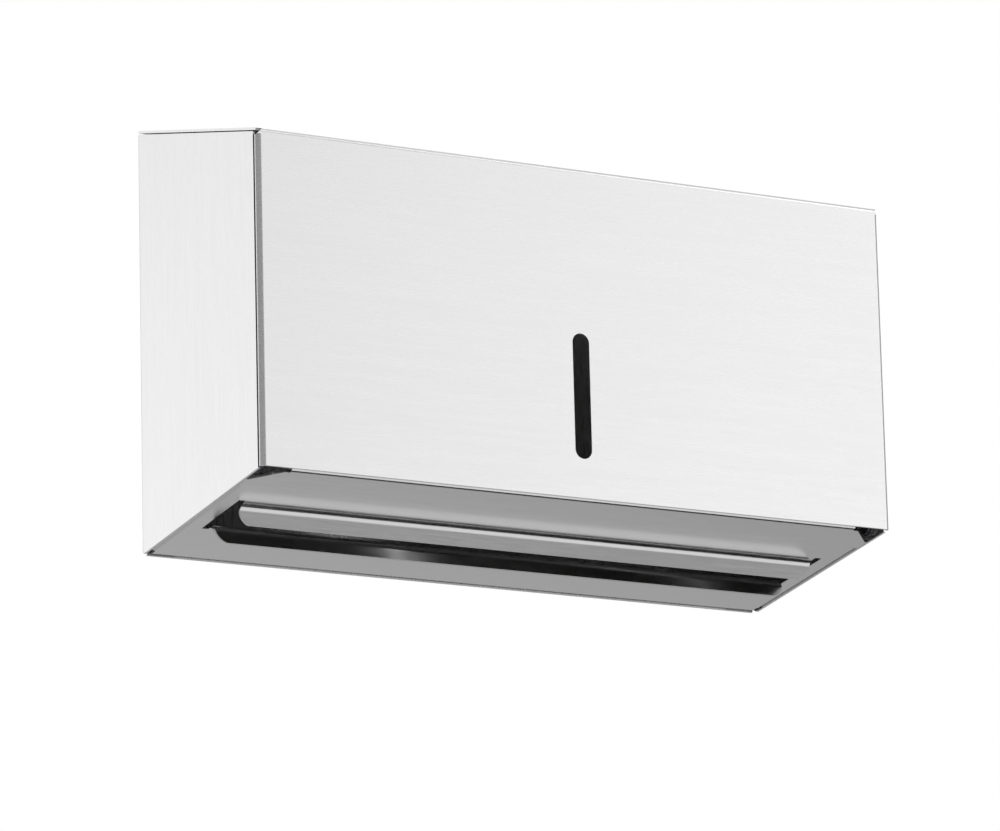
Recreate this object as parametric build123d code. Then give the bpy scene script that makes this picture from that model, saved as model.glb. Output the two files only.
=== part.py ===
from build123d import *
import math
import os

# Wall dispenser for folded paper towels, bent from stainless sheet.
# X runs along the front, Y into the wall, Z up. The wall is the plane Y = 0, the front faces -Y,
# and the origin is the middle of the four wall holes. All sizes are in millimetres.

# Overall form
width = 275.0            # across the front
depth = 100.0            # from the wall to the front face
front_height = 129.0     # height of the front panel
top_rise = 25.0          # the top climbs by this much from the front to the wall
base_drop = 14.0         # the base falls by this much from the front to the wall

# Sheet
steel = 1.0              # thickness of every sheet part
bend = 1.0               # inside radius of a bend
fit_gap = 0.1            # between two parts that are welded or slid together
edge_round = 3.5         # rounded rear corners of the side panels

# Casing
wall_hole = 5.5          # diameter of the four wall holes
wall_hole_span = 200.0   # between the holes, sideways
wall_hole_rise = 90.0    # between the holes, upwards

# Cover
seam = 1.2               # gap between the front panel's returns and the side panels
top_seam = 0.5           # gap between the top panel and the side panel
cover_bend = 0.9         # inside radius of the front panel's side bends
cover_return = 2.1       # depth of the front panel's returns
corner_relief = 2.3      # the returns stop this far below the top
corner_snip = 2.4        # the front panel's upper corners are snipped by this much
top_inset = 0.4          # the top panel is narrower than the front on each side
wall_gap = 1.0           # between the top panel's rear edge and the wall
window_width = 7.3       # level window
window_height = 49.0
window_sill = 15.2       # from the front's lower edge to the window

# Base
base_gap = 1.8           # between the front panel and the base
base_flange = 10.0       # height of the base's welded flanges
side_flange_start = 22.0  # the side flanges start this far behind the front, clear of the hinge
side_flange_end = 6.0    # and end this far from the wall
corner_cut_x = 14.0      # front corners of the base, cut for the hinge ears
corner_cut_y = 12.5
slot_front = 36.0        # slot's front edge, from the front face
slot_rear = 67.0         # slot's rear edge, from the front face
slot_margin = 9.0        # slot's ends, from the sides
lip_margin = 11.8        # lips' ends, from the sides
lip_bend = 4.4           # inside radius of the lips' bends
lip_drop = 7.3           # the lips hang this far below the base
lip_lean = 14.0          # degrees by which the lips lean towards each other
lip_corner = 6.0         # radius of the lips' lower corners

# Hinge
axle_setback = 11.0      # hinge axis, behind the front face
axle_height = 3.4        # hinge axis, above the front's lower edge
pin_diameter = 3.0
pin_foot_diameter = 7.0  # welded foot of the pin
pin_foot = 0.8
pin_tail = 1.2           # pin's end beyond the clip
ear_thick = 1.2
ear_nose = 3.9           # radius of the ear's rounded end
ear_rise = 16.0          # ear's height above the hinge axis
ear_foot = 11.0          # ear's flange, welded behind the front panel
bush_wall = 0.8
bush_flange = 0.6
bush_flange_diameter = 7.0
running_gap = 0.05       # radial, pin in bush
side_play = 0.15         # sideways, between the hinge's pieces
hinge_washer_diameter = 7.0
hinge_washer_thick = 0.5
clip_diameter = 7.0
clip_thick = 0.5

# Lock
lock_setback = 30.0      # lock axis, from the wall, along the top
barrel_diameter = 16.0
barrel_length = 16.0     # below the top panel's outer face
head_diameter = 21.0
head_height = 1.8
plug_diameter = 11.0
plug_head_diameter = 13.0
plug_head = 1.2
key_width = 2.2
key_length = 7.5
key_depth = 7.0
nut_across = 22.0
nut_thick = 4.0
washer_thick = 0.8
washer_diameter = 20.0
tail_square = 6.0
cam_thick = 1.5
cam_width = 13.0
cam_reach = 19.0         # lock axis to the cam's tip
cam_gap = 0.3            # between the barrel and the cam
screw_diameter = 4.0
screw_length = 7.0
screw_head_diameter = 7.5
screw_head = 2.4
recess_length = 4.5      # cross recess in the screw head
recess_width = 1.0
cam_washer_diameter = 10.0
cam_washer_thick = 0.8

# Catch bracket
catch_width = 60.0
catch_reach = 12.0       # forward from the back plate
catch_leg = 16.0         # welded leg on the back plate
catch_gap = 1.0          # between the cam and the catch

# Places that follow from the sizes above
wall_height = top_rise + front_height + base_drop
front_y = -depth
base_wall_z = -wall_height / 2
front_low_z = base_wall_z + base_drop
front_top_z = front_low_z + front_height
top_angle = math.atan2(top_rise, depth)
base_angle = math.atan2(base_drop, depth)
half = width / 2
outer_bend = bend + steel
side_front_y = front_y + cover_return + seam
side_inside = half - steel
axle_y = front_y + axle_setback
axle_z = front_low_z + axle_height
ear_outside = side_inside - pin_foot - side_play - bush_flange
ear_inside = ear_outside - ear_thick


def top_z(y, below=0.0):
    """Height of the top panel's outer face at y, or of a line that far below it."""
    return front_top_z + (y - front_y) * math.tan(top_angle) - below / math.cos(top_angle)


def base_z(y, above=0.0):
    """Height of the base's lower face at y, or of a line that far above it."""
    return front_low_z - (y - front_y) * math.tan(base_angle) + above / math.cos(base_angle)


def bent_sheet(points, side, radius=bend, thickness=steel):
    """Section of a bent sheet. The points run along one face, the sheet lies left (1) or right (-1)."""
    face = [Vector(*p) for p in points]
    ways = [(b - a).normalized() for a, b in zip(face, face[1:])]
    across = [Vector(-w.Y, w.X) * side for w in ways]
    other = [face[0] + across[0] * thickness]
    face_radii = []
    other_radii = []
    for i in range(1, len(face) - 1):
        before, after = across[i - 1], across[i]
        other.append(face[i] + (before + after) * (thickness / (1 + before.dot(after))))
        sheet_inside = ways[i - 1].cross(ways[i]).Z * side > 0
        face_radii.append(radius + thickness if sheet_inside else radius)
        other_radii.append(radius if sheet_inside else radius + thickness)
    other.append(face[-1] + across[-1] * thickness)
    if face_radii:
        first = FilletPolyline(*face, radius=face_radii)
        second = FilletPolyline(*other, radius=other_radii)
    else:
        first = Line(face[0], face[-1])
        second = Line(other[0], other[-1])
    ends = [Line(face[0], other[0]), Line(face[-1], other[-1])]
    return make_face(Wire(first.edges() + second.edges() + ends[0].edges() + ends[1].edges()))


def side_prism(points, reach):
    """Outline in the Y-Z plane, extruded over X to both sides."""
    return extrude(Plane.YZ * make_face(Polyline(*points, close=True)), reach, both=True)


def along_slope(section, origin, angle, length):
    """Section drawn in X and across the sheet, extruded up or down a slope towards the wall."""
    away = Vector(0, -math.cos(angle), -math.sin(angle))
    plane = Plane(origin=origin, x_dir=(1, 0, 0), z_dir=away)
    return extrude(plane * section, -length)


def corner_rounder(y, z, down, radius, sign):
    """What is taken off a side panel's rear corner to round it. down is -1 at the bottom, 1 at the top."""
    block = Pos(sign * half, y - radius / 2, z - down * radius / 2) * Box(2 * outer_bend, radius, radius)
    disc = Pos(sign * half, y - radius, z - down * radius) * Rot(0, 90, 0) * Cylinder(radius, 4 * outer_bend)
    return block - disc


def make_casing():
    """Back plate and side panels, bent from one sheet, with four wall holes."""
    plan = bent_sheet([(-half, side_front_y), (-half, 0), (half, 0), (half, side_front_y)], -1)
    shell = extrude(Pos(0, 0, -wall_height) * plan, 2 * wall_height)
    side_top = steel + top_seam
    blank = side_prism(
        [
            (side_front_y, base_z(side_front_y)),
            (0, base_z(0)),
            (0, top_z(0, side_top)),
            (side_front_y, top_z(side_front_y, side_top)),
        ],
        width,
    )
    shell = shell & blank
    for sign in (-1, 1):
        shell -= corner_rounder(0, base_z(0), -1, edge_round, sign)
        shell -= corner_rounder(0, top_z(0, side_top), 1, edge_round, sign)
    for x in (-wall_hole_span / 2, wall_hole_span / 2):
        for z in (-wall_hole_rise / 2, wall_hole_rise / 2):
            shell -= Pos(x, 0, z) * Rot(90, 0, 0) * Cylinder(wall_hole / 2, 4 * steel)
    return shell


def make_base():
    """Sloping base with its welded flanges, the dispensing slot and the two hanging lips."""
    front = front_y + steel + base_gap
    rear = -steel - fit_gap
    inner = side_inside - fit_gap
    section = bent_sheet(
        [
            (front, base_z(front) + base_flange),
            (front, base_z(front)),
            (rear, base_z(rear)),
            (rear, base_z(rear) + base_flange),
        ],
        1,
    )
    flange_half = half - corner_cut_x - fit_gap
    tray = extrude(Plane.YZ * section, flange_half, both=True)
    plate_front = front + outer_bend
    plate_rear = rear - outer_bend
    plate = bent_sheet([(plate_front, base_z(plate_front)), (plate_rear, base_z(plate_rear))], 1)
    tray += extrude(Plane.YZ * plate, inner - outer_bend, both=True)
    wing_end = front_y + side_flange_start
    wing = bent_sheet([(plate_front, base_z(plate_front)), (wing_end, base_z(wing_end))], 1)
    tray += extrude(Plane.YZ * wing, inner, both=True)
    pan = bent_sheet([(-inner, base_flange), (-inner, 0), (inner, 0), (inner, base_flange)], 1)
    pan_length = (-side_flange_end - wing_end) / math.cos(base_angle)
    tray += along_slope(pan, (0, wing_end, base_z(wing_end)), -base_angle, pan_length)
    for sign in (-1, 1):
        tray -= make_corner_cut(sign, front)
    slot_length = slot_rear - slot_front
    middle = front_y + (slot_front + slot_rear) / 2
    tray -= Pos(0, middle, base_z(middle)) * Box(width - 2 * slot_margin, slot_length, 6 * steel)
    return tray + make_lip(front_y + slot_front, 1) + make_lip(front_y + slot_rear, -1)


def make_corner_cut(sign, front):
    """Wedge taken off one front corner of the base, so that the hinge ear can swing through."""
    low, high = front_low_z - base_drop, front_low_z + base_flange + 2 * steel
    outline = Polyline(
        (sign * (half - corner_cut_x), front - fit_gap),
        (sign * (half + fit_gap), front - fit_gap),
        (sign * (half + fit_gap), front + corner_cut_y),
        (sign * (half - outer_bend), front + corner_cut_y),
        close=True,
    )
    return extrude(Pos(0, 0, low) * make_face(outline), high - low)


def make_lip(edge, way):
    """Lip that hangs from one long edge of the slot, with rounded lower corners. way points to the slot."""
    corner = edge + way * lip_bend
    root = edge - way * steel
    foot = base_z(corner) - lip_drop
    tip = corner + way * lip_drop * math.tan(math.radians(lip_lean))
    section = bent_sheet([(root, base_z(root)), (corner, base_z(corner)), (tip, foot)], way, lip_bend)
    reach = half - lip_margin
    lip = extrude(Plane.YZ * section, reach, both=True)
    high = base_z(root) + 2 * outer_bend
    rim = FilletPolyline((-reach, high), (-reach, foot), (reach, foot), (reach, high), radius=lip_corner)
    outline = make_face(Wire(rim.edges() + Line((reach, high), (-reach, high)).edges()))
    return lip & extrude(Plane.XZ * outline, 2 * depth, both=True)


def make_cover():
    """Front panel and top panel, bent from one sheet, with the level window and the lock's hole."""
    rear = -wall_gap
    section = bent_sheet([(front_y, front_low_z), (front_y, front_top_z), (rear, top_z(rear))], -1)
    top_half = half - top_inset
    sheet = extrude(Plane.YZ * section, top_half, both=True)
    return_top = front_top_z - corner_relief
    sheet &= Box(2 * (half - cover_bend - steel), 4 * depth, 4 * wall_height) + Pos(
        0, 0, return_top + wall_height
    ) * Box(width, 4 * depth, 2 * wall_height)
    pan = bent_sheet(
        [(-half, front_y + cover_return), (-half, front_y), (half, front_y), (half, front_y + cover_return)],
        1,
        cover_bend,
    )
    sheet += extrude(Pos(0, 0, front_low_z) * pan, return_top - front_low_z)
    for sign in (-1, 1):
        snip = make_face(
            Polyline(
                (sign * (half - corner_snip), front_top_z),
                (sign * (half + corner_snip), front_top_z),
                (sign * (half + corner_snip), front_top_z - 2 * corner_snip),
                close=True,
            )
        )
        sheet -= Pos(0, front_y, 0) * extrude(Plane.XZ * snip, cover_bend + steel, both=True)
    window = Plane.XZ * SlotOverall(window_height, window_width, rotation=90)
    sheet -= Pos(0, front_y, front_low_z + window_sill + window_height / 2) * extrude(
        window, 3 * steel, both=True
    )
    return sheet - on_lock_axis(Cylinder(barrel_diameter / 2 + fit_gap, 6 * steel))


def on_lock_axis(shape):
    """Moves a shape, drawn about Z with Z = 0 on the top panel's outer face, to the lock."""
    y = -lock_setback * math.cos(top_angle)
    return Pos(0, y, top_z(y)) * Rot(math.degrees(top_angle), 0, 0) * shape


def ring(outer, inner, low, high):
    """Round ring or, with no inner diameter, a disc, between two heights on Z."""
    shape = Pos(0, 0, low) * Cylinder(outer / 2, high - low, align=(Align.CENTER, Align.CENTER, Align.MIN))
    if inner:
        shape -= Pos(0, 0, low - steel) * Cylinder(
            inner / 2, high - low + 2 * steel, align=(Align.CENTER, Align.CENTER, Align.MIN)
        )
    return shape


def make_lock():
    """Cam lock, piece by piece, about Z, with Z = 0 on the top panel's outer face."""
    bore = plug_diameter + 2 * running_gap
    counterbore = plug_head_diameter + 2 * running_gap
    housing = ring(head_diameter, 0, 0, head_height) + ring(barrel_diameter, 0, -barrel_length, 0)
    housing = chamfer(housing.faces().sort_by(Axis.Z)[-1].edges(), head_height / 3)
    housing -= ring(bore, 0, -barrel_length - steel, head_height + steel)
    housing -= ring(counterbore, 0, head_height - plug_head - running_gap, head_height + steel)
    washer = ring(washer_diameter, barrel_diameter + 2 * fit_gap, -steel - washer_thick, -steel)
    nut_top = -steel - washer_thick
    hexagon = RegularPolygon(nut_across / 2, 6, major_radius=False)
    nut = extrude(Pos(0, 0, nut_top - nut_thick) * hexagon, nut_thick)
    nut -= ring(barrel_diameter + 2 * running_gap, 0, nut_top - nut_thick - steel, nut_top + steel)
    cam_top = -barrel_length - cam_gap
    plug = ring(plug_diameter, 0, cam_top, head_height) + ring(
        plug_head_diameter, 0, head_height - plug_head, head_height
    )
    plug += Pos(0, 0, cam_top) * Box(
        tail_square, tail_square, cam_thick, align=(Align.CENTER, Align.CENTER, Align.MAX)
    )
    plug -= Pos(0, 0, head_height) * Box(
        key_length, key_width, key_depth, align=(Align.CENTER, Align.CENTER, Align.MAX)
    )
    hole_depth = screw_length + running_gap
    tail_end = cam_top - cam_thick
    plug -= ring(screw_diameter + 2 * running_gap, 0, tail_end - steel, tail_end + hole_depth)
    return {
        "lock_housing": housing,
        "lock_washer": washer,
        "lock_nut": nut,
        "lock_plug": plug,
        "lock_cam": make_cam(cam_top),
        "cam_washer": ring(
            cam_washer_diameter, screw_diameter + 2 * fit_gap, tail_end - cam_washer_thick, tail_end
        ),
        "cam_screw": ring(screw_diameter, 0, tail_end - cam_washer_thick, tail_end + screw_length)
        + make_screw_head(tail_end - cam_washer_thick),
    }


def make_cam(cam_top):
    """Flat latch arm with a round heel, a square hole and a rounded tip, pointing along X while unlocked."""
    tip = Pos(cam_reach / 2, 0) * Rectangle(cam_reach, cam_width)
    outline = Circle(cam_width / 2) + tip
    arm = extrude(Pos(0, 0, cam_top - cam_thick) * outline, cam_thick)
    arm = fillet(arm.edges().filter_by(Axis.Z).group_by(Axis.X)[-1], cam_width / 4)
    hole = tail_square + 2 * running_gap
    return arm - Pos(0, 0, cam_top) * Box(hole, hole, 4 * cam_thick)


def make_screw_head(seat):
    """Round screw head below the washer, with a cross recess."""
    head = ring(screw_head_diameter, 0, seat - screw_head, seat)
    head = fillet(head.faces().sort_by(Axis.Z)[0].edges(), screw_head / 2)
    for turn in (0, 90):
        head -= Pos(0, 0, seat - screw_head) * Rot(0, 0, turn) * Box(
            recess_length, recess_width, screw_head
        )
    return head


def make_catch():
    """Angle bracket on the back plate that the cam turns under."""
    upper = barrel_length + cam_gap - catch_gap - steel
    rear = -steel
    tip = rear - catch_reach
    section = bent_sheet(
        [
            (rear, top_z(rear, upper) - catch_leg),
            (rear, top_z(rear, upper)),
            (tip, top_z(tip, upper)),
        ],
        1,
    )
    return extrude(Plane.YZ * section, catch_width / 2, both=True)


def hinge_ring(outer, inner, near, far, sign):
    """Ring about the hinge axis between two distances from the middle."""
    low, high = sorted((sign * near, sign * far))
    return Pos(0, axle_y, axle_z) * Rot(0, 90, 0) * ring(outer, inner, low, high)


def make_hinge(sign):
    """Pin, bush, ear, washer and clip of one hinge. sign is -1 on the left and 1 on the right."""
    bore = pin_diameter + 2 * running_gap
    bush_outer = bore + 2 * bush_wall
    clip_far = ear_inside - side_play - hinge_washer_thick
    clip_near = clip_far - clip_thick
    tail = clip_near - pin_tail
    pin = hinge_ring(pin_diameter, 0, tail, side_inside, sign)
    pin += hinge_ring(pin_foot_diameter, 0, side_inside - pin_foot, side_inside, sign)
    bush = hinge_ring(bush_outer, bore, ear_inside, ear_outside, sign)
    bush += hinge_ring(bush_flange_diameter, bore, ear_outside, ear_outside + bush_flange, sign)
    washer = hinge_ring(hinge_washer_diameter, bore, clip_far, clip_far + hinge_washer_thick, sign)
    clip = hinge_ring(clip_diameter, pin_diameter, clip_near, clip_far, sign)
    return {"pin": pin, "bush": bush, "ear": make_ear(sign, bush_outer), "washer": washer, "clip": clip}


def make_ear(sign, hole):
    """Hinge ear, an angle of sheet welded behind the front panel, with a rounded nose round the pin."""
    back = front_y + steel
    reach = axle_y + ear_nose
    plan = bent_sheet(
        [
            (sign * (ear_outside - ear_foot), back),
            (sign * ear_outside, back),
            (sign * ear_outside, reach),
        ],
        sign,
        bend,
        ear_thick,
    )
    low, high = axle_z - ear_nose, axle_z + ear_rise
    blank = extrude(Pos(0, 0, low) * plan, high - low)
    front = front_y - steel
    outline = Polyline(
        (front, axle_z - ear_nose / 2),
        (axle_y, axle_z - ear_nose / 2),
        (reach, axle_z),
        (axle_y, high),
        (front, high),
        close=True,
    )
    side_view = extrude(Plane.YZ * make_face(outline), width, both=True)
    nose = Pos(0, axle_y, axle_z) * Rot(0, 90, 0) * Cylinder(ear_nose, 2 * width)
    return blank & (side_view + nose) - hinge_ring(hole, 0, ear_inside - steel, side_inside, sign)


def main():
    """Builds every piece and writes one STEP file for each."""
    os.makedirs("parts", exist_ok=True)
    pieces = {
        "rear_casing": make_casing(),
        "dispensing_base": make_base(),
        "catch_bracket": make_catch(),
        "front_cover": make_cover(),
    }
    for side, sign in (("left", -1), ("right", 1)):
        for kind, shape in make_hinge(sign).items():
            pieces[f"hinge_{kind}_{side}"] = shape
    for name, shape in make_lock().items():
        pieces[name] = on_lock_axis(shape)
    for name, shape in pieces.items():
        shape.label = name
        export_step(shape, f"parts/{name}.step")


main()
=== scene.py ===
"""Wall dispenser for folded paper towels, bent from brushed stainless sheet.

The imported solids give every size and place. This script refines their edges, adds the weld marks and
the lock's thread, finishes every surface, and sets the studio and the photograph's camera.
"""

import logging
import math
from dataclasses import dataclass, field
from enum import Enum

import bmesh
import bpy
from mathutils import Matrix, Vector


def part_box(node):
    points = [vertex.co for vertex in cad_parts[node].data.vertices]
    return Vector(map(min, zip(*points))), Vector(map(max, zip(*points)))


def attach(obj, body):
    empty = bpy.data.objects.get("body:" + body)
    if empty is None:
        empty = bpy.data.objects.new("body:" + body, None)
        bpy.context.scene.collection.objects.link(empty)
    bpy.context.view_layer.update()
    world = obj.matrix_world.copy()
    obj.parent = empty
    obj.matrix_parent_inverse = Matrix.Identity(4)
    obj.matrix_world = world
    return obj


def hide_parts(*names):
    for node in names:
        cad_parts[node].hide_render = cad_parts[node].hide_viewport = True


log = logging.getLogger("towel_dispenser")

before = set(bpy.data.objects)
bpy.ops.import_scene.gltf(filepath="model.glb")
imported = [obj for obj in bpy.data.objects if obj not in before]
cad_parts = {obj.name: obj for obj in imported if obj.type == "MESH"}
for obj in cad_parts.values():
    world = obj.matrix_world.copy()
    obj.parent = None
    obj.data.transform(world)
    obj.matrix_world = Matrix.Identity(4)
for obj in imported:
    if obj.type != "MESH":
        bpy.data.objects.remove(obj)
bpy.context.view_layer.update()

MM = 0.001

MERGE_DISTANCE = 0.000002
FLAT_ANGLE = math.radians(0.5)
EDGE_ANGLE = math.radians(50)
SMALL_EDGE = 0.05 * MM
WASHER_EDGE = 0.08 * MM
LOCK_EDGE = 0.1 * MM
NUT_EDGE = 0.3 * MM


class Grain(Enum):
    """Direction in which a sheet is brushed. The value is the row axis that the lines follow."""

    SIDEWAYS = "X"
    UPRIGHT = "Z"


class Body(Enum):
    """The three bodies that move against each other."""

    CASING = "casing"
    COVER = "cover"
    LATCH = "latch"


class MaterialBuilder:
    """Small helper that writes one node material.

    Args:
        name: the material's name.
    """

    NOISE_ROUGHNESS = 0.62
    NOISE_LOW = 0.28
    NOISE_HIGH = 0.72
    SHIFT_Y = 1.7
    SHIFT_Z = 0.6
    NODE_SPACING = 180

    def __init__(self, name: str) -> None:
        self.material = bpy.data.materials.new(name)
        self.material.use_nodes = True
        self.tree = self.material.node_tree
        self.shader = self.tree.nodes["Principled BSDF"]
        self._column = -200

    def node(self, kind: str, **settings: object) -> bpy.types.Node:
        """Adds a node.

        Args:
            kind: the node's type name.
            settings: attributes to set on it.

        Returns:
            The new node.
        """
        made = self.tree.nodes.new(kind)
        for key, value in settings.items():
            setattr(made, key, value)
        made.location = (self._column, 0)
        self._column -= self.NODE_SPACING
        return made

    def link(self, source: bpy.types.NodeSocket, target: bpy.types.NodeSocket) -> None:
        """Joins two sockets."""
        self.tree.links.new(source, target)

    def noise(self, scale: tuple[float, float, float], detail: float, seed: float) -> bpy.types.NodeSocket:
        """Adds stretched noise on Object coordinates.

        Args:
            scale: how many cells there are in a metre along X, Y and Z.
            detail: octaves of the noise.
            seed: shifts the pattern.

        Returns:
            The noise's value, between 0 and 1.
        """
        place = self.node("ShaderNodeTexCoord")
        mapping = self.node("ShaderNodeMapping")
        mapping.inputs["Scale"].default_value = scale
        mapping.inputs["Location"].default_value = (seed, seed * self.SHIFT_Y, seed * self.SHIFT_Z)
        noise = self.node("ShaderNodeTexNoise")
        noise.inputs["Scale"].default_value = 1.0
        noise.inputs["Detail"].default_value = detail
        noise.inputs["Roughness"].default_value = self.NOISE_ROUGHNESS
        self.link(place.outputs["Object"], mapping.inputs["Vector"])
        self.link(mapping.outputs["Vector"], noise.inputs["Vector"])
        return noise.outputs["Fac"]

    def ranged(self, value: bpy.types.NodeSocket, low: float, high: float) -> bpy.types.NodeSocket:
        """Spreads a noise's middle values over a range.

        Args:
            value: the socket to spread.
            low: result for the noise's low end.
            high: result for the noise's high end.

        Returns:
            The spread value.
        """
        spread = self.node("ShaderNodeMapRange")
        spread.inputs["From Min"].default_value = self.NOISE_LOW
        spread.inputs["From Max"].default_value = self.NOISE_HIGH
        spread.inputs["To Min"].default_value = low
        spread.inputs["To Max"].default_value = high
        self.link(value, spread.inputs["Value"])
        return spread.outputs["Result"]

    def product(self, first: bpy.types.NodeSocket, second: bpy.types.NodeSocket) -> bpy.types.NodeSocket:
        """Multiplies two values."""
        times = self.node("ShaderNodeMath", operation="MULTIPLY")
        self.link(first, times.inputs[0])
        self.link(second, times.inputs[1])
        return times.outputs["Value"]

    def total(self, first: bpy.types.NodeSocket, second: bpy.types.NodeSocket) -> bpy.types.NodeSocket:
        """Adds two values."""
        plus = self.node("ShaderNodeMath", operation="ADD")
        self.link(first, plus.inputs[0])
        self.link(second, plus.inputs[1])
        return plus.outputs["Value"]

    def tint(self, value: bpy.types.NodeSocket, colour: tuple[float, float, float]) -> None:
        """Colours the surface.

        Args:
            value: brightness, round 1.
            colour: the metal's or plastic's own colour.
        """
        scale = self.node("ShaderNodeVectorMath", operation="SCALE")
        scale.inputs[0].default_value = colour
        self.link(value, scale.inputs["Scale"])
        self.link(scale.outputs["Vector"], self.shader.inputs["Base Color"])

    def bump(self, height: bpy.types.NodeSocket, depth: float) -> None:
        """Raises the surface.

        Args:
            height: the pattern's height, between 0 and 1.
            depth: the pattern's real height, in metres.
        """
        bump = self.node("ShaderNodeBump")
        bump.inputs["Strength"].default_value = 1.0
        bump.inputs["Distance"].default_value = depth
        self.link(height, bump.inputs["Height"])
        self.link(bump.outputs["Normal"], self.shader.inputs["Normal"])


@dataclass(frozen=True)
class BrushedSteel:
    """Sheet steel, brushed along one direction.

    Args:
        name: the material's name.
        colour: the metal's colour.
        grain: direction of the brushed lines.
        roughness: middle roughness.
        line_width: width of a fine line, in metres.
        line_length: length of a fine line, in metres.
        contrast: how much lighter and darker the lines are.
        depth: height of the lines, in metres.
        long_share: the long lines' contrast, as a share of the fine lines'.
        long_height: the long lines' height, as a share of the fine lines'.
    """

    name: str
    colour: tuple[float, float, float]
    grain: Grain
    roughness: float = 0.3
    line_width: float = 0.00034
    line_length: float = 0.012
    contrast: float = 0.05
    depth: float = 0.0000022
    long_share: float = 0.3
    long_height: float = 0.25

    def scale(self, width: float, length: float) -> tuple[float, float, float]:
        """Noise scale for lines of that width and length."""
        across, along = 1.0 / width, 1.0 / length
        return (along, across, across) if self.grain is Grain.SIDEWAYS else (across, across, along)

    def build(self) -> bpy.types.Material:
        """Writes the material.

        Returns:
            The finished material.
        """
        made = MaterialBuilder(self.name)
        fine = made.noise(self.scale(self.line_width, self.line_length), 3.0, 3.1)
        long = made.noise(self.scale(self.line_width * 4.5, self.line_length * 5.0), 2.0, 11.7)
        cloud = made.noise((7.0, 9.0, 8.0), 2.0, 5.3)
        faint = self.contrast * self.long_share
        shade = made.product(
            made.ranged(fine, 1.0 - self.contrast, 1.0 + self.contrast),
            made.product(made.ranged(long, 1.0 - faint, 1.0 + faint), made.ranged(cloud, 0.985, 1.012)),
        )
        made.tint(shade, self.colour)
        rough = made.total(
            made.ranged(fine, self.roughness - 0.05, self.roughness + 0.05),
            made.total(made.ranged(long, -0.02, 0.02), made.ranged(cloud, -0.012, 0.012)),
        )
        made.link(rough, made.shader.inputs["Roughness"])
        made.bump(made.total(fine, made.ranged(long, 0.0, self.long_height)), self.depth)
        made.shader.inputs["Metallic"].default_value = 1.0
        return made.material


@dataclass(frozen=True)
class PlatedMetal:
    """Small plated or turned part.

    Args:
        name: the material's name.
        colour: the plating's colour.
        roughness: middle roughness.
        mottle: how much lighter and darker the plating's patches are.
        depth: height of the patches and turning marks, in metres.
    """

    name: str
    colour: tuple[float, float, float]
    roughness: float
    mottle: float = 0.05
    depth: float = 0.0000015

    def build(self) -> bpy.types.Material:
        """Writes the material.

        Returns:
            The finished material.
        """
        made = MaterialBuilder(self.name)
        patch = made.noise((420.0, 420.0, 420.0), 4.0, 2.9)
        turned = made.noise((90.0, 90.0, 2600.0), 2.0, 8.2)
        made.tint(made.ranged(patch, 1.0 - self.mottle, 1.0 + self.mottle), self.colour)
        rough = made.ranged(patch, self.roughness * 0.8, self.roughness * 1.2)
        made.link(made.total(rough, made.ranged(turned, -0.02, 0.02)), made.shader.inputs["Roughness"])
        made.bump(made.total(patch, turned), self.depth)
        made.shader.inputs["Metallic"].default_value = 1.0
        return made.material


@dataclass(frozen=True)
class MouldedNylon:
    """Moulded nylon of the hinge bushes and washers.

    Args:
        name: the material's name.
        colour: the plastic's colour.
        depth: height of the moulded grain, in metres.
    """

    name: str
    colour: tuple[float, float, float]
    depth: float = 0.000004

    def build(self) -> bpy.types.Material:
        """Writes the material.

        Returns:
            The finished material.
        """
        made = MaterialBuilder(self.name)
        grain = made.noise((2400.0, 2400.0, 2400.0), 3.0, 1.4)
        made.tint(made.ranged(grain, 0.95, 1.03), self.colour)
        made.link(made.ranged(grain, 0.42, 0.56), made.shader.inputs["Roughness"])
        made.bump(grain, self.depth)
        return made.material


@dataclass
class Finishes:
    """Every finish of the dispenser, by the record's slot name."""

    made: dict[str, bpy.types.Material] = field(default_factory=dict)
    weld: bpy.types.Material | None = None

    def __post_init__(self) -> None:
        """Builds the materials."""
        self.weld = PlatedMetal("weld ring", (0.50, 0.48, 0.45), 0.42, 0.12).build()
        kinds = {
            "cover_steel": BrushedSteel("cover brushed sideways", (0.80, 0.80, 0.80), Grain.SIDEWAYS),
            "casing_steel": BrushedSteel("casing brushed upright", (0.80, 0.80, 0.80), Grain.UPRIGHT),
            "base_steel": BrushedSteel(
                "base brushed sideways", (0.76, 0.76, 0.76), Grain.SIDEWAYS, 0.2, depth=0.000001
            ),
            "bracket_steel": BrushedSteel(
                "phosphated bracket",
                (0.10, 0.10, 0.105),
                Grain.SIDEWAYS,
                0.5,
                contrast=0.06,
                line_length=0.006,
            ),
            "pin_steel": PlatedMetal("blackened pin steel", (0.16, 0.16, 0.165), 0.32),
            "spring_steel": PlatedMetal("blued spring steel", (0.10, 0.10, 0.12), 0.36, 0.1),
            "zinc_steel": PlatedMetal("bright zinc plate", (0.66, 0.68, 0.70), 0.3, 0.08),
            "lock_chrome": PlatedMetal("polished plating", (0.83, 0.83, 0.84), 0.12, 0.015),
            "nylon": MouldedNylon("black nylon", (0.022, 0.022, 0.024)),
        }
        for slot, kind in kinds.items():
            self.made[slot] = kind.build()

    def dress(self, piece: bpy.types.Object, slot: str) -> None:
        """Gives a piece one finish.

        Args:
            piece: the object.
            slot: the record's slot name.
        """
        piece.data.materials.clear()
        piece.data.materials.append(self.made[slot])


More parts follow.
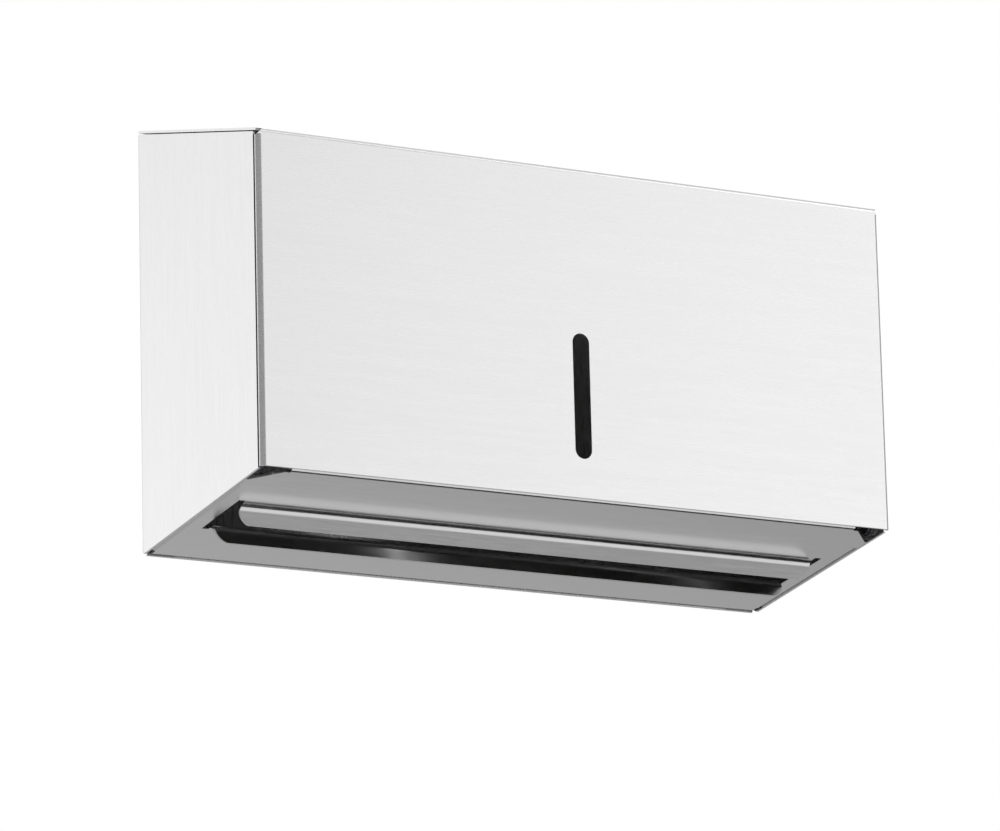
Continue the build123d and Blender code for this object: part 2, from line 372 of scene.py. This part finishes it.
@dataclass
class SheetEdges:
    """Turns a CAD solid into a piece whose cut edges are broken, as a deburred sheet's are.

    Args:
        node: the CAD node that it stands for.
        body: the body that it moves with.
        slot: the record's slot name.
        edge: width of the broken edge, in metres.
    """

    node: str
    body: Body
    slot: str
    edge: float = 0.12 * MM

    def mesh(self) -> bpy.types.Mesh:
        """Copies the node's mesh, joins its triangles and breaks its edges.

        Returns:
            The finished mesh.
        """
        cleaned = bmesh.new()
        cleaned.from_mesh(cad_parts[self.node].data)
        bmesh.ops.remove_doubles(cleaned, verts=cleaned.verts, dist=MERGE_DISTANCE)
        bmesh.ops.dissolve_limit(
            cleaned, angle_limit=FLAT_ANGLE, verts=cleaned.verts, edges=cleaned.edges
        )
        mesh = bpy.data.meshes.new(f"{self.node}_sheet")
        cleaned.to_mesh(mesh)
        cleaned.free()
        mesh.shade_smooth()
        holder = bpy.data.objects.new("edge_breaker", mesh)
        bpy.context.scene.collection.objects.link(holder)
        bevel = holder.modifiers.new("broken edge", "BEVEL")
        bevel.width = self.edge
        bevel.segments = 2
        bevel.limit_method = "ANGLE"
        bevel.angle_limit = EDGE_ANGLE
        bevel.use_clamp_overlap = True
        weights = holder.modifiers.new("flat faces stay flat", "WEIGHTED_NORMAL")
        weights.keep_sharp = True
        result = bpy.data.meshes.new_from_object(
            holder.evaluated_get(bpy.context.evaluated_depsgraph_get())
        )
        bpy.data.objects.remove(holder)
        bpy.data.meshes.remove(mesh)
        return result

    def place(self, finishes: Finishes) -> bpy.types.Object:
        """Makes the piece, dresses it and lets it stand for its node.

        Args:
            finishes: the dispenser's finishes.

        Returns:
            The piece.
        """
        piece = bpy.data.objects.new(f"{self.node}_piece", self.mesh())
        bpy.context.scene.collection.objects.link(piece)
        finishes.dress(piece, self.slot)
        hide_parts(self.node)
        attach(piece, self.body.value)
        log.info("%s: %d faces, rides on %s", piece.name, len(piece.data.polygons), self.body.value)
        return piece


class TreeBuilder:
    """Small helper that writes one Geometry Nodes tree with named inputs.

    Args:
        name: the tree's name.
    """

    def __init__(self, name: str) -> None:
        self.tree = bpy.data.node_groups.new(name, "GeometryNodeTree")
        self.tree.is_modifier = True
        self.tree.interface.new_socket("Geometry", in_out="INPUT", socket_type="NodeSocketGeometry")
        self.tree.interface.new_socket("Geometry", in_out="OUTPUT", socket_type="NodeSocketGeometry")
        self.source = self.tree.nodes.new("NodeGroupInput")

    def value(self, name: str, kind: str) -> bpy.types.NodeSocket:
        """Adds a named input.

        Args:
            name: the input's name.
            kind: Float, Int or Vector.

        Returns:
            The socket that gives it to the nodes.
        """
        self.tree.interface.new_socket(name, in_out="INPUT", socket_type=f"NodeSocket{kind}")
        return self.source.outputs[name]

    def node(self, kind: str, links: dict[str, bpy.types.NodeSocket], **settings: object) -> bpy.types.Node:
        """Adds a node and links its inputs.

        Args:
            kind: the node's type name.
            links: the socket that feeds each named input.
            settings: attributes to set on it.

        Returns:
            The new node.
        """
        made = self.tree.nodes.new(kind)
        for key, setting in settings.items():
            setattr(made, key, setting)
        for key, source in links.items():
            self.tree.links.new(source, made.inputs[key])
        return made

    def close(self, shape: bpy.types.NodeSocket, material: bpy.types.Material) -> None:
        """Realizes the shape, gives it its material and ends the tree.

        Args:
            shape: the geometry to put out.
            material: its material.
        """
        whole = self.node("GeometryNodeRealizeInstances", {"Geometry": shape})
        dressed = self.node("GeometryNodeSetMaterial", {"Geometry": whole.outputs["Geometry"]})
        dressed.inputs["Material"].default_value = material
        end = self.tree.nodes.new("NodeGroupOutput")
        self.tree.links.new(dressed.outputs["Geometry"], end.inputs["Geometry"])

    def run(self, sizes: dict[str, object]) -> bpy.types.Mesh:
        """Runs the tree once.

        Args:
            sizes: a value for each named input.

        Returns:
            The plain mesh that it makes.
        """
        holder = bpy.data.objects.new(self.tree.name, bpy.data.meshes.new(self.tree.name))
        bpy.context.scene.collection.objects.link(holder)
        modifier = holder.modifiers.new(self.tree.name, "NODES")
        modifier.node_group = self.tree
        for socket in self.tree.interface.items_tree:
            if socket.in_out == "INPUT" and socket.name in sizes:
                modifier[socket.identifier] = sizes[socket.name]
        depsgraph = bpy.context.evaluated_depsgraph_get()
        mesh = bpy.data.meshes.new_from_object(holder.evaluated_get(depsgraph))
        bpy.data.objects.remove(holder)
        return mesh


@dataclass(frozen=True)
class WeldRow:
    """A straight row of spot welds.

    Args:
        first: middle of the first weld, in metres.
        step: way from one weld to the next, in metres.
        count: how many welds there are.
        facing: turn that lays a flat ring, drawn about Z, on the sheet, in radians.
    """

    first: Vector
    step: Vector
    count: int
    facing: Vector


@dataclass
class SpotWelds:
    """Shallow rings that the welding tips press into the sheet.

    Args:
        radius: radius of a ring.
        rim: radius of the ring's rounded rim.
    """

    radius: float = 2.3 * MM
    rim: float = 0.17 * MM

    def tree(self, material: bpy.types.Material) -> TreeBuilder:
        """Writes the tree that lays rings along a line.

        Args:
            material: the rings' material.

        Returns:
            The tree.
        """
        made = TreeBuilder("spot welds")
        first, step = made.value("First", "Vector"), made.value("Step", "Vector")
        count, facing = made.value("Count", "Int"), made.value("Facing", "Rotation")
        radius, rim = made.value("Radius", "Float"), made.value("Rim", "Float")
        line = made.node("GeometryNodeMeshLine", {"Count": count, "Start Location": first, "Offset": step})
        path = made.node("GeometryNodeCurvePrimitiveCircle", {"Radius": radius})
        path.inputs["Resolution"].default_value = 28
        profile = made.node("GeometryNodeCurvePrimitiveCircle", {"Radius": rim})
        profile.inputs["Resolution"].default_value = 10
        ring = made.node(
            "GeometryNodeCurveToMesh",
            {"Curve": path.outputs["Curve"], "Profile Curve": profile.outputs["Curve"]},
        )
        rings = made.node(
            "GeometryNodeInstanceOnPoints",
            {"Points": line.outputs["Mesh"], "Instance": ring.outputs["Mesh"], "Rotation": facing},
        )
        made.close(rings.outputs["Instances"], material)
        return made

    def place(self, name: str, body: Body, slot: str, rows: list[WeldRow], finishes: "Finishes") -> None:
        """Makes one body's welds as one mesh.

        Args:
            name: the piece's name.
            body: the body that they ride on.
            slot: the record's slot name; not used.
            rows: the rows of welds.
            finishes: the dispenser's finishes.
        """
        tree = self.tree(finishes.weld)
        joined = bmesh.new()
        for row in rows:
            mesh = tree.run(
                {
                    "First": row.first,
                    "Step": row.step,
                    "Count": row.count,
                    "Facing": row.facing,
                    "Radius": self.radius,
                    "Rim": self.rim,
                }
            )
            joined.from_mesh(mesh)
            bpy.data.meshes.remove(mesh)
        bmesh.ops.recalc_face_normals(joined, faces=joined.faces)
        rings = bpy.data.meshes.new(name)
        joined.to_mesh(rings)
        joined.free()
        rings.shade_smooth()
        rings.materials.append(finishes.weld)
        piece = bpy.data.objects.new(name, rings)
        bpy.context.scene.collection.objects.link(piece)
        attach(piece, body.value)
        log.info("%s: %d welds", name, sum(row.count for row in rows))


@dataclass
class BarrelThread:
    """The thread on the lock's barrel, below its nut.

    Args:
        radius: radius of the line that the thread's ridge follows.
        ridge: half the ridge's width.
        pitch: rise of one turn.
        length: threaded length.
        start: where it starts, below the top panel's outer face.
    """

    radius: float = 7.86 * MM
    ridge: float = 0.42 * MM
    pitch: float = 1.5 * MM
    length: float = 9.2 * MM
    start: float = 15.4 * MM

    def place(self, centre: Vector, slope: float, finishes: "Finishes") -> None:
        """Makes the thread and lets it ride on the cover.

        Args:
            centre: where the lock's axis meets the top panel's outer face.
            slope: the top panel's slope, in radians.
            finishes: the dispenser's finishes.
        """
        made = TreeBuilder("barrel thread")
        turns, radius = made.value("Turns", "Float"), made.value("Radius", "Float")
        length, ridge = made.value("Length", "Float"), made.value("Ridge", "Float")
        place, turn = made.value("Place", "Vector"), made.value("Turn", "Rotation")
        spiral = made.node(
            "GeometryNodeCurveSpiral",
            {"Rotations": turns, "Start Radius": radius, "End Radius": radius, "Height": length},
        )
        spiral.inputs["Resolution"].default_value = 48
        profile = made.node("GeometryNodeCurvePrimitiveCircle", {"Radius": ridge})
        profile.inputs["Resolution"].default_value = 4
        ridge_mesh = made.node(
            "GeometryNodeCurveToMesh",
            {"Curve": spiral.outputs["Curve"], "Profile Curve": profile.outputs["Curve"]},
        )
        ridge_mesh.inputs["Fill Caps"].default_value = True
        moved = made.node(
            "GeometryNodeTransform",
            {"Geometry": ridge_mesh.outputs["Mesh"], "Translation": place, "Rotation": turn},
        )
        made.close(moved.outputs["Geometry"], finishes.made["lock_chrome"])
        axis = Vector((0.0, -math.sin(slope), math.cos(slope)))
        mesh = made.run(
            {
                "Turns": self.length / self.pitch,
                "Radius": self.radius,
                "Length": self.length,
                "Ridge": self.ridge,
                "Place": centre - axis * self.start,
                "Turn": Vector((slope, 0.0, 0.0)),
            }
        )
        piece = bpy.data.objects.new("barrel_thread", mesh)
        bpy.context.scene.collection.objects.link(piece)
        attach(piece, Body.COVER.value)
        log.info("%s: %d faces", piece.name, len(mesh.polygons))


@dataclass(frozen=True)
class Panel:
    """Large white panel round the object that only reflections show.

    Args:
        turn: its direction, clockwise from +Y, in degrees.
        rise: its direction above the horizon, in degrees.
        middle: it has its full brightness within this angle, in degrees.
        edge: it has faded away at this angle, in degrees.
        brightness: its full brightness.
        foot: height above the horizon of its lower edge, in degrees.
        softness: how far that edge fades to each side, in degrees.
    """

    turn: float
    rise: float
    middle: float
    edge: float
    brightness: float
    foot: float = 0.0
    softness: float = 4.0

    def direction(self) -> Vector:
        """Unit vector towards the panel's middle."""
        turn, rise = math.radians(self.turn), math.radians(self.rise)
        return Vector((math.sin(turn) * math.cos(rise), math.cos(turn) * math.cos(rise), math.sin(rise)))


@dataclass(frozen=True)
class Card:
    """Level glowing card that only reflections show.

    Args:
        name: the card's name.
        near: the Y at which it starts, in metres.
        far: the Y at which it ends, in metres.
        left: brightness of its left end.
        right: brightness of its right end.
    """

    name: str
    near: float
    far: float
    left: float
    right: float


@dataclass(frozen=True)
class Lamp:
    """Square soft lamp.

    Args:
        name: the lamp's name.
        place: where it hangs, in metres.
        size: its side, in metres.
        power: its power, in watts.
    """

    name: str
    place: tuple[float, float, float]
    size: float
    power: float


@dataclass
class Studio:
    """Pale floor, soft lamps, a white surround, and the panels and cards that the steel mirrors.

    Args:
        floor_height: the floor's height, below every camera that looks at the object, in metres.
        floor_size: the floor's side, in metres.
        floor_glow: how much the floor is lifted, to the camera alone.
        ambient: the surround's strength on surfaces that scatter light.
        mirrored: the surround's strength in reflections, away from the panels.
        card_height: height at which the cards lie, in metres.
        card_reach: the cards' ends along X, in metres.
        panels: panels opposite the front and the side, and the ceiling.
        cards: cards that the base and its lips mirror, from the wall's side to the front's.
        lamps: key, fill and back lamp.
        lamp_target: what the lamps point at, in metres.
    """

    floor_height: float = -2.6
    floor_size: float = 24.0
    floor_glow: float = 0.42
    ambient: float = 0.55
    mirrored: float = 0.32
    card_height: float = -0.94
    card_reach: tuple[float, float] = (0.2, 6.0)
    panels: tuple[Panel, ...] = (
        Panel(138.5, 0.0, 4.0, 36.0, 1.41),
        Panel(-28.0, 3.0, 4.0, 30.0, 1.28),
        Panel(0.0, 90.0, 10.0, 60.0, 0.8),
    )
    cards: tuple[Card, ...] = (
        Card("far card", 1.43, 7.9, 0.57, 0.10),
        Card("middle card", 0.40, 1.43, 0.405, 0.03),
        Card("dark card", -0.24, 0.40, 0.01, 0.01),
        Card("white card", -1.1, -0.24, 0.85, 0.85),
        Card("near card", -7.9, -1.1, 0.38, 0.38),
    )
    lamps: tuple[Lamp, ...] = (
        Lamp("key", (-0.9, -1.5, 3.2), 1.6, 34.0),
        Lamp("fill", (2.4, -1.8, 2.4), 1.8, 14.0),
        Lamp("back", (0.8, 2.4, 2.4), 1.6, 12.0),
    )
    lamp_target: tuple[float, float, float] = (0.0, -0.05, 0.0)

    def lay_floor(self) -> None:
        """Lays the plain pale floor."""
        half = self.floor_size / 2
        mesh = bpy.data.meshes.new("floor")
        corners = [(-half, -half), (half, -half), (half, half), (-half, half)]
        mesh.from_pydata([(x, y, self.floor_height) for x, y in corners], [], [(0, 1, 2, 3)])
        floor = bpy.data.objects.new("floor", mesh)
        bpy.context.scene.collection.objects.link(floor)
        made = MaterialBuilder("pale floor")
        cloud = made.noise((1.1, 1.1, 1.1), 2.0, 0.4)
        made.tint(made.ranged(cloud, 0.99, 1.01), (0.62, 0.62, 0.625))
        made.shader.inputs["Roughness"].default_value = 0.9
        made.shader.inputs["Specular IOR Level"].default_value = 0.1
        made.shader.inputs["Emission Color"].default_value = (1.0, 1.0, 1.0, 1.0)
        lift = made.node("ShaderNodeMath", operation="MULTIPLY")
        lift.inputs[1].default_value = self.floor_glow
        made.link(made.node("ShaderNodeLightPath").outputs["Is Camera Ray"], lift.inputs[0])
        made.link(lift.outputs["Value"], made.shader.inputs["Emission Strength"])
        mesh.materials.append(made.material)

    def surround(self) -> None:
        """Makes the world white to the camera, and grey with white panels in reflections."""
        world = bpy.data.worlds.new("white surround")
        world.use_nodes = True
        tree = world.node_tree
        background = tree.nodes["Background"]
        background.inputs["Color"].default_value = (1.0, 1.0, 1.0, 1.0)
        path = tree.nodes.new("ShaderNodeLightPath")
        mirror = tree.nodes.new("ShaderNodeMath")
        mirror.operation = "MAXIMUM"
        tree.links.new(path.outputs["Is Glossy Ray"], mirror.inputs[0])
        tree.links.new(path.outputs["Is Transmission Ray"], mirror.inputs[1])
        in_mirror = tree.nodes.new("ShaderNodeMix")
        in_mirror.inputs[2].default_value = self.ambient
        tree.links.new(mirror.outputs[0], in_mirror.inputs["Factor"])
        tree.links.new(self.reflected(tree), in_mirror.inputs[3])
        in_view = tree.nodes.new("ShaderNodeMix")
        in_view.inputs[3].default_value = 1.0
        tree.links.new(path.outputs["Is Camera Ray"], in_view.inputs["Factor"])
        tree.links.new(in_mirror.outputs[0], in_view.inputs[2])
        tree.links.new(in_view.outputs[0], background.inputs["Strength"])
        bpy.context.scene.world = world

    def reflected(self, tree: bpy.types.NodeTree) -> bpy.types.NodeSocket:
        """Adds the panels to the world.

        Args:
            tree: the world's node tree.

        Returns:
            Brightness that a reflection shows in each direction.
        """
        place = tree.nodes.new("ShaderNodeTexCoord")
        height = tree.nodes.new("ShaderNodeSeparateXYZ")
        tree.links.new(place.outputs["Generated"], height.inputs["Vector"])
        total: bpy.types.NodeSocket | None = None
        for panel in self.panels:
            toward = tree.nodes.new("ShaderNodeVectorMath")
            toward.operation = "DOT_PRODUCT"
            toward.inputs[1].default_value = panel.direction()
            tree.links.new(place.outputs["Generated"], toward.inputs[0])
            edge, middle = (math.cos(math.radians(angle)) for angle in (panel.edge, panel.middle))
            low, high = (
                math.sin(math.radians(panel.foot + side * panel.softness)) for side in (-1.0, 1.0)
            )
            fade = self.fade(tree, toward.outputs["Value"], edge, middle, panel.brightness - self.mirrored)
            foot = self.fade(tree, height.outputs["Z"], low, high, 1.0)
            glow = tree.nodes.new("ShaderNodeMath")
            glow.operation = "MULTIPLY"
            tree.links.new(fade, glow.inputs[0])
            tree.links.new(foot, glow.inputs[1])
            both = tree.nodes.new("ShaderNodeMath")
            both.operation = "ADD"
            both.inputs[0].default_value = self.mirrored
            if total is not None:
                tree.links.new(total, both.inputs[0])
            tree.links.new(glow.outputs["Value"], both.inputs[1])
            total = both.outputs["Value"]
        return total

    def fade(
        self, tree: bpy.types.NodeTree, value: bpy.types.NodeSocket, low: float, high: float, full: float
    ) -> bpy.types.NodeSocket:
        """Adds a soft step from 0 at one value to its full height at another.

        Args:
            tree: the world's node tree.
            value: what the step depends on.
            low: value at which the step starts.
            high: value at which it is full.
            full: its height.

        Returns:
            The step's socket.
        """
        step = tree.nodes.new("ShaderNodeMapRange")
        step.interpolation_type = "SMOOTHSTEP"
        step.inputs["From Min"].default_value = low
        step.inputs["From Max"].default_value = high
        step.inputs["To Min"].default_value = 0.0
        step.inputs["To Max"].default_value = full
        tree.links.new(value, step.inputs["Value"])
        return step.outputs["Result"]

    def lay_card(self, card: Card) -> None:
        """Lays one card below the object.

        Args:
            card: the card.
        """
        start, end = self.card_reach
        outline = [(start, card.near), (end, card.near), (end, card.far), (start, card.far)]
        mesh = bpy.data.meshes.new(card.name)
        mesh.from_pydata([(x, y, self.card_height) for x, y in outline], [], [(0, 1, 2, 3)])
        sheet = bpy.data.objects.new(card.name, mesh)
        bpy.context.scene.collection.objects.link(sheet)
        made = MaterialBuilder(card.name)
        made.shader.inputs["Base Color"].default_value = (0.0, 0.0, 0.0, 1.0)
        made.shader.inputs["Specular IOR Level"].default_value = 0.0
        made.shader.inputs["Emission Color"].default_value = (1.0, 1.0, 1.0, 1.0)
        place = made.node("ShaderNodeTexCoord")
        across = made.node("ShaderNodeSeparateXYZ")
        made.link(place.outputs["Object"], across.inputs["Vector"])
        shade = made.node("ShaderNodeMapRange")
        shade.inputs["From Min"].default_value = start
        shade.inputs["From Max"].default_value = end
        shade.inputs["To Min"].default_value = card.left
        shade.inputs["To Max"].default_value = card.right
        made.link(across.outputs["X"], shade.inputs["Value"])
        made.link(shade.outputs["Result"], made.shader.inputs["Emission Strength"])
        mesh.materials.append(made.material)
        sheet.visible_camera = False
        sheet.visible_diffuse = False
        sheet.visible_shadow = False

    def hang_lamp(self, lamp: Lamp) -> None:
        """Hangs one lamp and points it at the object.

        Args:
            lamp: the lamp.
        """
        light = bpy.data.lights.new(lamp.name, "AREA")
        light.shape = "SQUARE"
        light.size = lamp.size
        light.energy = lamp.power
        place = Vector(lamp.place)
        hung = bpy.data.objects.new(lamp.name, light)
        hung.location = place
        hung.rotation_euler = (Vector(self.lamp_target) - place).to_track_quat("-Z", "Y").to_euler()
        bpy.context.scene.collection.objects.link(hung)

    def build(self) -> None:
        """Sets the whole studio."""
        self.lay_floor()
        self.surround()
        for lamp in self.lamps:
            self.hang_lamp(lamp)
        for card in self.cards:
            self.lay_card(card)
        bpy.context.scene.view_settings.view_transform = "Standard"
        log.info("studio: floor at %.2f m", self.floor_height)


@dataclass
class PhotographCamera:
    """The photograph's camera, in the row frame.

    Args:
        place: the camera's place, in metres.
        yaw: turn to the right of the +Y axis, in radians.
        pitch: tilt above the horizon, in radians.
        roll: turn about its own axis, in radians.
        lens: focal length for a sensor 36 mm wide.
    """

    place: Vector = field(default_factory=lambda: Vector((-1.16297, -2.05535, -0.58745)))
    yaw: float = 0.52276
    pitch: float = 0.23737
    roll: float = -0.0251
    lens: float = 222.283

    def build(self) -> bpy.types.Object:
        """Makes the camera and looks through it.

        Returns:
            The camera.
        """
        level = Vector((math.sin(self.yaw), math.cos(self.yaw), 0.0))
        ahead = level * math.cos(self.pitch) + Vector((0, 0, math.sin(self.pitch)))
        right = Vector((math.cos(self.yaw), -math.sin(self.yaw), 0.0))
        above = right.cross(ahead)
        side = right * math.cos(self.roll) + above * math.sin(self.roll)
        up = above * math.cos(self.roll) - right * math.sin(self.roll)
        data = bpy.data.cameras.new("photograph")
        data.sensor_width = 36.0
        data.lens = self.lens
        data.clip_end = 50.0
        camera = bpy.data.objects.new("photograph", data)
        turn = Matrix((side, up, -ahead)).transposed().to_4x4()
        camera.matrix_world = Matrix.Translation(self.place) @ turn
        bpy.context.scene.collection.objects.link(camera)
        bpy.context.scene.camera = camera
        log.info("camera: %.0f mm lens", self.lens)
        return camera


@dataclass
class Casing:
    """Wall casing: back plate and sides, base, catch bracket and the hinge's fixed pieces.

    Args:
        sheet_edge: width of the broken edges of the sheets.
        pin_edge: width of the broken edges of the hinge pins.
        base_fall: how far the base falls towards the wall in one metre.
        weld_height: height of the flanges' welds above the base's lower face.
        flange_inside: from the middle to the inner faces of the base's side flanges.
        flange_first: the side flanges' first weld, along Y.
        flange_step: from one weld of a side flange to the next.
        flange_count: how many welds a side flange has.
        rear_flange: from the wall to the inner face of the base's rear flange.
        rear_first: the rear flange's first weld, along X.
        rear_step: from one weld of the rear flange to the next.
        rear_count: how many welds the rear flange has.
        leg_face: from the wall to the inner face of the catch bracket's leg.
        leg_rise: height of the leg's welds above its lower edge.
        leg_step: from one weld of the leg to the next. The middle weld is on the middle line.
    """

    sheet_edge: float = 0.12 * MM
    pin_edge: float = 0.15 * MM
    base_fall: float = 0.14
    weld_height: float = 6.2 * MM
    flange_inside: float = 135.4 * MM
    flange_first: float = -14.0 * MM
    flange_step: float = -12.5 * MM
    flange_count: int = 5
    rear_flange: float = 2.1 * MM
    rear_first: float = -110.0 * MM
    rear_step: float = 44.0 * MM
    rear_count: int = 6
    leg_face: float = 2.0 * MM
    leg_rise: float = 5.0 * MM
    leg_step: float = 20.0 * MM

    def base_height(self, y: float) -> float:
        """Height of the welds' middles above a place on the base."""
        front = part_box("front_cover")[0]
        return front[2] - (y - front[1]) * self.base_fall + self.weld_height

    def weld_rows(self) -> list[WeldRow]:
        """Lists the welds of the base's flanges and of the catch bracket."""
        upright = Vector((math.pi / 2, 0.0, 0.0))
        rows = [
            WeldRow(
                Vector((sign * self.flange_inside, self.flange_first, self.base_height(self.flange_first))),
                Vector((0.0, self.flange_step, -self.flange_step * self.base_fall)),
                self.flange_count,
                Vector((0.0, math.pi / 2, 0.0)),
            )
            for sign in (-1, 1)
        ]
        rear = Vector((self.rear_first, -self.rear_flange, self.base_height(0.0)))
        rows.append(WeldRow(rear, Vector((self.rear_step, 0.0, 0.0)), self.rear_count, upright))
        leg_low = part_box("catch_bracket")[0][2]
        leg = Vector((-self.leg_step, -self.leg_face, leg_low + self.leg_rise))
        rows.append(WeldRow(leg, Vector((self.leg_step, 0.0, 0.0)), 3, upright))
        return rows

    def build(self, finishes: Finishes) -> None:
        """Makes every piece of the casing.

        Args:
            finishes: the dispenser's finishes.
        """
        SheetEdges("rear_casing", Body.CASING, "casing_steel", self.sheet_edge).place(finishes)
        SheetEdges("dispensing_base", Body.CASING, "base_steel", self.sheet_edge).place(finishes)
        SheetEdges("catch_bracket", Body.CASING, "bracket_steel", self.sheet_edge).place(finishes)
        for side in ("left", "right"):
            SheetEdges(f"hinge_pin_{side}", Body.CASING, "pin_steel", self.pin_edge).place(finishes)
            SheetEdges(f"hinge_washer_{side}", Body.CASING, "nylon", SMALL_EDGE).place(finishes)
            SheetEdges(f"hinge_clip_{side}", Body.CASING, "spring_steel", SMALL_EDGE).place(finishes)
        SpotWelds().place("casing_welds", Body.CASING, "casing_steel", self.weld_rows(), finishes)


@dataclass
class Cover:
    """Hinged cover: front and top panel, hinge ears with their bushes, and the lock's fixed pieces.

    Args:
        sheet_edge: width of the broken edges of the sheets.
        ear_face: from the wall to the inner faces of the ears' feet.
        ear_middle: from the middle to the middles of the ears' feet.
        weld_rise: height of an ear's first weld above its lower edge.
        weld_step: from an ear's first weld to its second.
        lock_centre: where the lock's axis meets the top panel's outer face.
        top_slope: the top panel's slope, in radians.
    """

    sheet_edge: float = 0.12 * MM
    ear_face: float = 97.8 * MM
    ear_middle: float = 128.2 * MM
    weld_rise: float = 8.0 * MM
    weld_step: float = 7.0 * MM
    lock_centre: Vector = field(default_factory=lambda: Vector((0.0, -29.104, 76.724)) * MM)
    top_slope: float = math.atan2(25.0, 100.0)

    def weld_rows(self) -> list[WeldRow]:
        """Lists the welds of the ears' feet."""
        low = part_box("hinge_ear_left")[0][2]
        return [
            WeldRow(
                Vector((sign * self.ear_middle, -self.ear_face, low + self.weld_rise)),
                Vector((0.0, 0.0, self.weld_step)),
                2,
                Vector((math.pi / 2, 0.0, 0.0)),
            )
            for sign in (-1, 1)
        ]

    def build(self, finishes: Finishes) -> None:
        """Makes every piece of the cover.

        Args:
            finishes: the dispenser's finishes.
        """
        SheetEdges("front_cover", Body.COVER, "cover_steel", self.sheet_edge).place(finishes)
        for side in ("left", "right"):
            SheetEdges(f"hinge_ear_{side}", Body.COVER, "bracket_steel", self.sheet_edge).place(finishes)
            SheetEdges(f"hinge_bush_{side}", Body.COVER, "nylon", SMALL_EDGE).place(finishes)
        SheetEdges("lock_housing", Body.COVER, "lock_chrome", LOCK_EDGE).place(finishes)
        SheetEdges("lock_washer", Body.COVER, "zinc_steel", WASHER_EDGE).place(finishes)
        SheetEdges("lock_nut", Body.COVER, "lock_chrome", NUT_EDGE).place(finishes)
        BarrelThread().place(self.lock_centre, self.top_slope, finishes)
        SpotWelds().place("cover_welds", Body.COVER, "cover_steel", self.weld_rows(), finishes)


@dataclass
class Latch:
    """What the key turns: the plug, the cam, its washer and its screw.

    Args:
        cam_edge: width of the broken edges of the cam.
    """

    cam_edge: float = 0.15 * MM

    def build(self, finishes: Finishes) -> None:
        """Makes every piece of the latch.

        Args:
            finishes: the dispenser's finishes.
        """
        SheetEdges("lock_plug", Body.LATCH, "lock_chrome", LOCK_EDGE).place(finishes)
        SheetEdges("lock_cam", Body.LATCH, "zinc_steel", self.cam_edge).place(finishes)
        SheetEdges("cam_washer", Body.LATCH, "zinc_steel", WASHER_EDGE).place(finishes)
        SheetEdges("cam_screw", Body.LATCH, "zinc_steel", WASHER_EDGE).place(finishes)


def main() -> None:
    """Builds the camera, the dispenser and the studio."""
    logging.basicConfig(level=logging.INFO, format="%(name)s: %(message)s")
    PhotographCamera().build()
    finishes = Finishes()
    Casing().build(finishes)
    Cover().build(finishes)
    Latch().build(finishes)
    Studio().build()


if __name__ == "__main__":
    main()
